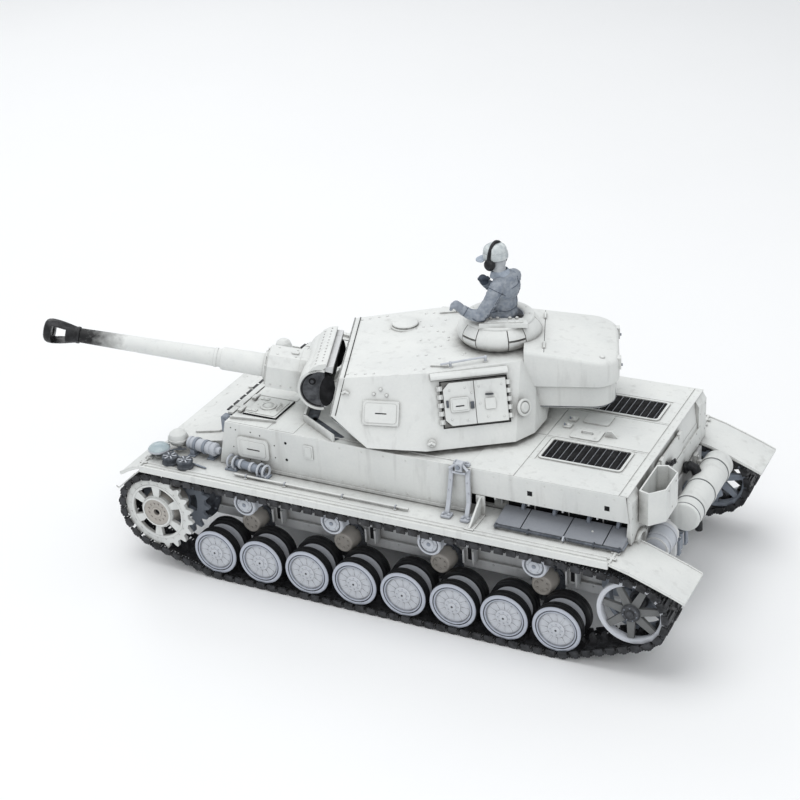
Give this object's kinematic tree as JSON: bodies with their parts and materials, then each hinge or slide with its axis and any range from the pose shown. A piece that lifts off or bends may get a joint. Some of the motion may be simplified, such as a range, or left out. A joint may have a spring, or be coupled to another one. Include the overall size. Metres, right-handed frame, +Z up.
{
  "type": "radio-controlled model tank",
  "caption": "Whitewashed radio-controlled model tank with traversing turret, elevating gun, open cupola with a crew figure, tracked running gear and opening hatches.",
  "frame": {"origin": "on the ground, under the middle of the outline of the tank with its turret as posed", "axes": "+X towards the bow, +Y towards the tank's left side, +Z up"},
  "size_m": [0.3987, 0.1816, 0.2014],
  "materials": {
    "hull_paint": "matte off-white winter wash with thin grey-brown dirt in the edges",
    "running_gear": "matte pale blue-grey",
    "tyre": "black rubber tyre on pale blue-grey discs",
    "track": "near-black linked track",
    "fittings": "matte blue-grey tools and boxes",
    "gun_black": "satin black muzzle brake",
    "figure": "blue-grey uniform, pale cap and skin",
    "electronics": "dark plastic cases inside the hull"
  },
  "bodies": {
    "hull": {"lower_hull": "hull_paint", "upper_hull": "hull_paint", "fender_left": "hull_paint", "fender_right": "hull_paint", "track_left": "track", "suspension_left": "running_gear", "gearbox_left": "electronics", "track_right": "track", "suspension_right": "running_gear", "gearbox_right": "electronics", "muffler": "hull_paint", "smoke_rack": "hull_paint", "spare_track": "track", "jack": "fittings", "stowage_box": "fittings", "battery": "electronics", "control_board": "electronics", "speaker": "electronics"},
    "turret": {"turret_shell": "hull_paint", "cupola": "hull_paint", "stowage_bin": "hull_paint", "turret_ring_gear": "electronics", "commander": "figure"},
    "gun": {"mantlet": "hull_paint", "gun_barrel": "hull_paint", "muzzle_brake": "gun_black"},
    "hatch_left": {"hatch_left": "hull_paint"},
    "turret_door_left_front": {"turret_door_left_front": "hull_paint"},
    "turret_door_left_rear": {"turret_door_left_rear": "hull_paint"},
    "sprocket_left": {"sprocket_left": "hull_paint"},
    "idler_left": {"idler_left": "running_gear"},
    "road_wheel_left_1": {"road_wheel_left_1": "tyre"},
    "road_wheel_left_2": {"road_wheel_left_2": "tyre"},
    "road_wheel_left_3": {"road_wheel_left_3": "tyre"},
    "road_wheel_left_4": {"road_wheel_left_4": "tyre"},
    "road_wheel_left_5": {"road_wheel_left_5": "tyre"},
    "road_wheel_left_6": {"road_wheel_left_6": "tyre"},
    "road_wheel_left_7": {"road_wheel_left_7": "tyre"},
    "road_wheel_left_8": {"road_wheel_left_8": "tyre"},
    "return_roller_left_1": {"return_roller_left_1": "running_gear"},
    "return_roller_left_2": {"return_roller_left_2": "running_gear"},
    "return_roller_left_3": {"return_roller_left_3": "running_gear"},
    "return_roller_left_4": {"return_roller_left_4": "running_gear"},
    "hatch_right": {"hatch_right": "hull_paint"},
    "turret_door_right_front": {"turret_door_right_front": "hull_paint"},
    "turret_door_right_rear": {"turret_door_right_rear": "hull_paint"},
    "sprocket_right": {"sprocket_right": "hull_paint"},
    "idler_right": {"idler_right": "running_gear"},
    "road_wheel_right_1": {"road_wheel_right_1": "tyre"},
    "road_wheel_right_2": {"road_wheel_right_2": "tyre"},
    "road_wheel_right_3": {"road_wheel_right_3": "tyre"},
    "road_wheel_right_4": {"road_wheel_right_4": "tyre"},
    "road_wheel_right_5": {"road_wheel_right_5": "tyre"},
    "road_wheel_right_6": {"road_wheel_right_6": "tyre"},
    "road_wheel_right_7": {"road_wheel_right_7": "tyre"},
    "road_wheel_right_8": {"road_wheel_right_8": "tyre"},
    "return_roller_right_1": {"return_roller_right_1": "running_gear"},
    "return_roller_right_2": {"return_roller_right_2": "running_gear"},
    "return_roller_right_3": {"return_roller_right_3": "running_gear"},
    "return_roller_right_4": {"return_roller_right_4": "running_gear"}
  },
  "joints": [
    {"name": "turret_traverse", "type": "hinge", "parent": "hull", "child": "turret", "pos_m": [-0.0314, 0, 0.098], "axis": [0, 0, 1], "continuous": true},
    {"name": "gun_elevation", "type": "hinge", "parent": "turret", "child": "gun", "pos_m": [0.02738, 0.0221, 0.1185], "axis": [0.3518, -0.9361, 0], "range_deg": [-16.6, 9.4]},
    {"name": "hatch_left_hinge", "type": "hinge", "parent": "hull", "child": "hatch_left", "pos_m": [0.0846, 0.0435, 0.0988], "axis": [0, 1, 0], "range_deg": [0, 38]},
    {"name": "turret_door_left_front_hinge", "type": "hinge", "parent": "turret", "child": "turret_door_left_front", "pos_m": [-0.04557, 0.05006, 0.12449], "axis": [-0.2244, 0.3385, -0.9138], "range_deg": [0, 100]},
    {"name": "turret_door_left_rear_hinge", "type": "hinge", "parent": "turret", "child": "turret_door_left_rear", "pos_m": [-0.07599, 0.02989, 0.12449], "axis": [0.2244, -0.3385, 0.9138], "range_deg": [0, 100]},
    {"name": "sprocket_left_spin", "type": "hinge", "parent": "hull", "child": "sprocket_left", "pos_m": [0.1322, 0.0774, 0.0384], "axis": [0, 1, 0], "continuous": true},
    {"name": "idler_left_spin", "type": "hinge", "parent": "hull", "child": "idler_left", "pos_m": [-0.1687, 0.0774, 0.0388], "axis": [0, 1, 0], "continuous": true},
    {"name": "road_wheel_left_1_spin", "type": "hinge", "parent": "hull", "child": "road_wheel_left_1", "pos_m": [0.0936, 0.0774, 0.0179], "axis": [0, 1, 0], "continuous": true},
    {"name": "road_wheel_left_2_spin", "type": "hinge", "parent": "hull", "child": "road_wheel_left_2", "pos_m": [0.0622, 0.0774, 0.0179], "axis": [0, 1, 0], "continuous": true},
    {"name": "road_wheel_left_3_spin", "type": "hinge", "parent": "hull", "child": "road_wheel_left_3", "pos_m": [0.0308, 0.0774, 0.0179], "axis": [0, 1, 0], "continuous": true},
    {"name": "road_wheel_left_4_spin", "type": "hinge", "parent": "hull", "child": "road_wheel_left_4", "pos_m": [-0.0006, 0.0774, 0.0179], "axis": [0, 1, 0], "continuous": true},
    {"name": "road_wheel_left_5_spin", "type": "hinge", "parent": "hull", "child": "road_wheel_left_5", "pos_m": [-0.032, 0.0774, 0.0179], "axis": [0, 1, 0], "continuous": true},
    {"name": "road_wheel_left_6_spin", "type": "hinge", "parent": "hull", "child": "road_wheel_left_6", "pos_m": [-0.0634, 0.0774, 0.0179], "axis": [0, 1, 0], "continuous": true},
    {"name": "road_wheel_left_7_spin", "type": "hinge", "parent": "hull", "child": "road_wheel_left_7", "pos_m": [-0.0948, 0.0774, 0.0179], "axis": [0, 1, 0], "continuous": true},
    {"name": "road_wheel_left_8_spin", "type": "hinge", "parent": "hull", "child": "road_wheel_left_8", "pos_m": [-0.1262, 0.0774, 0.0179], "axis": [0, 1, 0], "continuous": true},
    {"name": "return_roller_left_1_spin", "type": "hinge", "parent": "hull", "child": "return_roller_left_1", "pos_m": [0.0711, 0.0775, 0.0543], "axis": [0, 1, 0], "continuous": true},
    {"name": "return_roller_left_2_spin", "type": "hinge", "parent": "hull", "child": "return_roller_left_2", "pos_m": [0.0128, 0.0775, 0.0543], "axis": [0, 1, 0], "continuous": true},
    {"name": "return_roller_left_3_spin", "type": "hinge", "parent": "hull", "child": "return_roller_left_3", "pos_m": [-0.0491, 0.0775, 0.0543], "axis": [0, 1, 0], "continuous": true},
    {"name": "return_roller_left_4_spin", "type": "hinge", "parent": "hull", "child": "return_roller_left_4", "pos_m": [-0.1126, 0.0775, 0.0543], "axis": [0, 1, 0], "continuous": true},
    {"name": "hatch_right_hinge", "type": "hinge", "parent": "hull", "child": "hatch_right", "pos_m": [0.0846, -0.0435, 0.0988], "axis": [0, 1, 0], "range_deg": [0, 38]},
    {"name": "turret_door_right_front_hinge", "type": "hinge", "parent": "turret", "child": "turret_door_right_front", "pos_m": [-0.00909, -0.047, 0.12449], "axis": [-0.0541, 0.4025, 0.9138], "range_deg": [0, 100]},
    {"name": "turret_door_right_rear_hinge", "type": "hinge", "parent": "turret", "child": "turret_door_right_rear", "pos_m": [-0.04526, -0.05186, 0.12449], "axis": [0.0541, -0.4025, -0.9138], "range_deg": [0, 100]},
    {"name": "sprocket_right_spin", "type": "hinge", "parent": "hull", "child": "sprocket_right", "pos_m": [0.1322, -0.0774, 0.0384], "axis": [0, 1, 0], "continuous": true},
    {"name": "idler_right_spin", "type": "hinge", "parent": "hull", "child": "idler_right", "pos_m": [-0.1687, -0.0774, 0.0388], "axis": [0, 1, 0], "continuous": true},
    {"name": "road_wheel_right_1_spin", "type": "hinge", "parent": "hull", "child": "road_wheel_right_1", "pos_m": [0.0936, -0.0774, 0.0179], "axis": [0, 1, 0], "continuous": true},
    {"name": "road_wheel_right_2_spin", "type": "hinge", "parent": "hull", "child": "road_wheel_right_2", "pos_m": [0.0622, -0.0774, 0.0179], "axis": [0, 1, 0], "continuous": true},
    {"name": "road_wheel_right_3_spin", "type": "hinge", "parent": "hull", "child": "road_wheel_right_3", "pos_m": [0.0308, -0.0774, 0.0179], "axis": [0, 1, 0], "continuous": true},
    {"name": "road_wheel_right_4_spin", "type": "hinge", "parent": "hull", "child": "road_wheel_right_4", "pos_m": [-0.0006, -0.0774, 0.0179], "axis": [0, 1, 0], "continuous": true},
    {"name": "road_wheel_right_5_spin", "type": "hinge", "parent": "hull", "child": "road_wheel_right_5", "pos_m": [-0.032, -0.0774, 0.0179], "axis": [0, 1, 0], "continuous": true},
    {"name": "road_wheel_right_6_spin", "type": "hinge", "parent": "hull", "child": "road_wheel_right_6", "pos_m": [-0.0634, -0.0774, 0.0179], "axis": [0, 1, 0], "continuous": true},
    {"name": "road_wheel_right_7_spin", "type": "hinge", "parent": "hull", "child": "road_wheel_right_7", "pos_m": [-0.0948, -0.0774, 0.0179], "axis": [0, 1, 0], "continuous": true},
    {"name": "road_wheel_right_8_spin", "type": "hinge", "parent": "hull", "child": "road_wheel_right_8", "pos_m": [-0.1262, -0.0774, 0.0179], "axis": [0, 1, 0], "continuous": true},
    {"name": "return_roller_right_1_spin", "type": "hinge", "parent": "hull", "child": "return_roller_right_1", "pos_m": [0.0711, -0.0775, 0.0543], "axis": [0, 1, 0], "continuous": true},
    {"name": "return_roller_right_2_spin", "type": "hinge", "parent": "hull", "child": "return_roller_right_2", "pos_m": [0.0128, -0.0775, 0.0543], "axis": [0, 1, 0], "continuous": true},
    {"name": "return_roller_right_3_spin", "type": "hinge", "parent": "hull", "child": "return_roller_right_3", "pos_m": [-0.0491, -0.0775, 0.0543], "axis": [0, 1, 0], "continuous": true},
    {"name": "return_roller_right_4_spin", "type": "hinge", "parent": "hull", "child": "return_roller_right_4", "pos_m": [-0.1126, -0.0775, 0.0543], "axis": [0, 1, 0], "continuous": true}
  ],
  "couplings": [
    {"joint": "idler_left_spin", "follows": "sprocket_left_spin", "ratio": 1.197},
    {"joint": "road_wheel_left_1_spin", "follows": "sprocket_left_spin", "ratio": 1.5906},
    {"joint": "road_wheel_left_2_spin", "follows": "sprocket_left_spin", "ratio": 1.5906},
    {"joint": "road_wheel_left_3_spin", "follows": "sprocket_left_spin", "ratio": 1.5906},
    {"joint": "road_wheel_left_4_spin", "follows": "sprocket_left_spin", "ratio": 1.5906},
    {"joint": "road_wheel_left_5_spin", "follows": "sprocket_left_spin", "ratio": 1.5906},
    {"joint": "road_wheel_left_6_spin", "follows": "sprocket_left_spin", "ratio": 1.5906},
    {"joint": "road_wheel_left_7_spin", "follows": "sprocket_left_spin", "ratio": 1.5906},
    {"joint": "road_wheel_left_8_spin", "follows": "sprocket_left_spin", "ratio": 1.5906},
    {"joint": "return_roller_left_1_spin", "follows": "sprocket_left_spin", "ratio": 3.0385},
    {"joint": "return_roller_left_2_spin", "follows": "sprocket_left_spin", "ratio": 3.0385},
    {"joint": "return_roller_left_3_spin", "follows": "sprocket_left_spin", "ratio": 3.0385},
    {"joint": "return_roller_left_4_spin", "follows": "sprocket_left_spin", "ratio": 3.0385},
    {"joint": "idler_right_spin", "follows": "sprocket_right_spin", "ratio": 1.197},
    {"joint": "road_wheel_right_1_spin", "follows": "sprocket_right_spin", "ratio": 1.5906},
    {"joint": "road_wheel_right_2_spin", "follows": "sprocket_right_spin", "ratio": 1.5906},
    {"joint": "road_wheel_right_3_spin", "follows": "sprocket_right_spin", "ratio": 1.5906},
    {"joint": "road_wheel_right_4_spin", "follows": "sprocket_right_spin", "ratio": 1.5906},
    {"joint": "road_wheel_right_5_spin", "follows": "sprocket_right_spin", "ratio": 1.5906},
    {"joint": "road_wheel_right_6_spin", "follows": "sprocket_right_spin", "ratio": 1.5906},
    {"joint": "road_wheel_right_7_spin", "follows": "sprocket_right_spin", "ratio": 1.5906},
    {"joint": "road_wheel_right_8_spin", "follows": "sprocket_right_spin", "ratio": 1.5906},
    {"joint": "return_roller_right_1_spin", "follows": "sprocket_right_spin", "ratio": 3.0385},
    {"joint": "return_roller_right_2_spin", "follows": "sprocket_right_spin", "ratio": 3.0385},
    {"joint": "return_roller_right_3_spin", "follows": "sprocket_right_spin", "ratio": 3.0385},
    {"joint": "return_roller_right_4_spin", "follows": "sprocket_right_spin", "ratio": 3.0385}
  ]
}
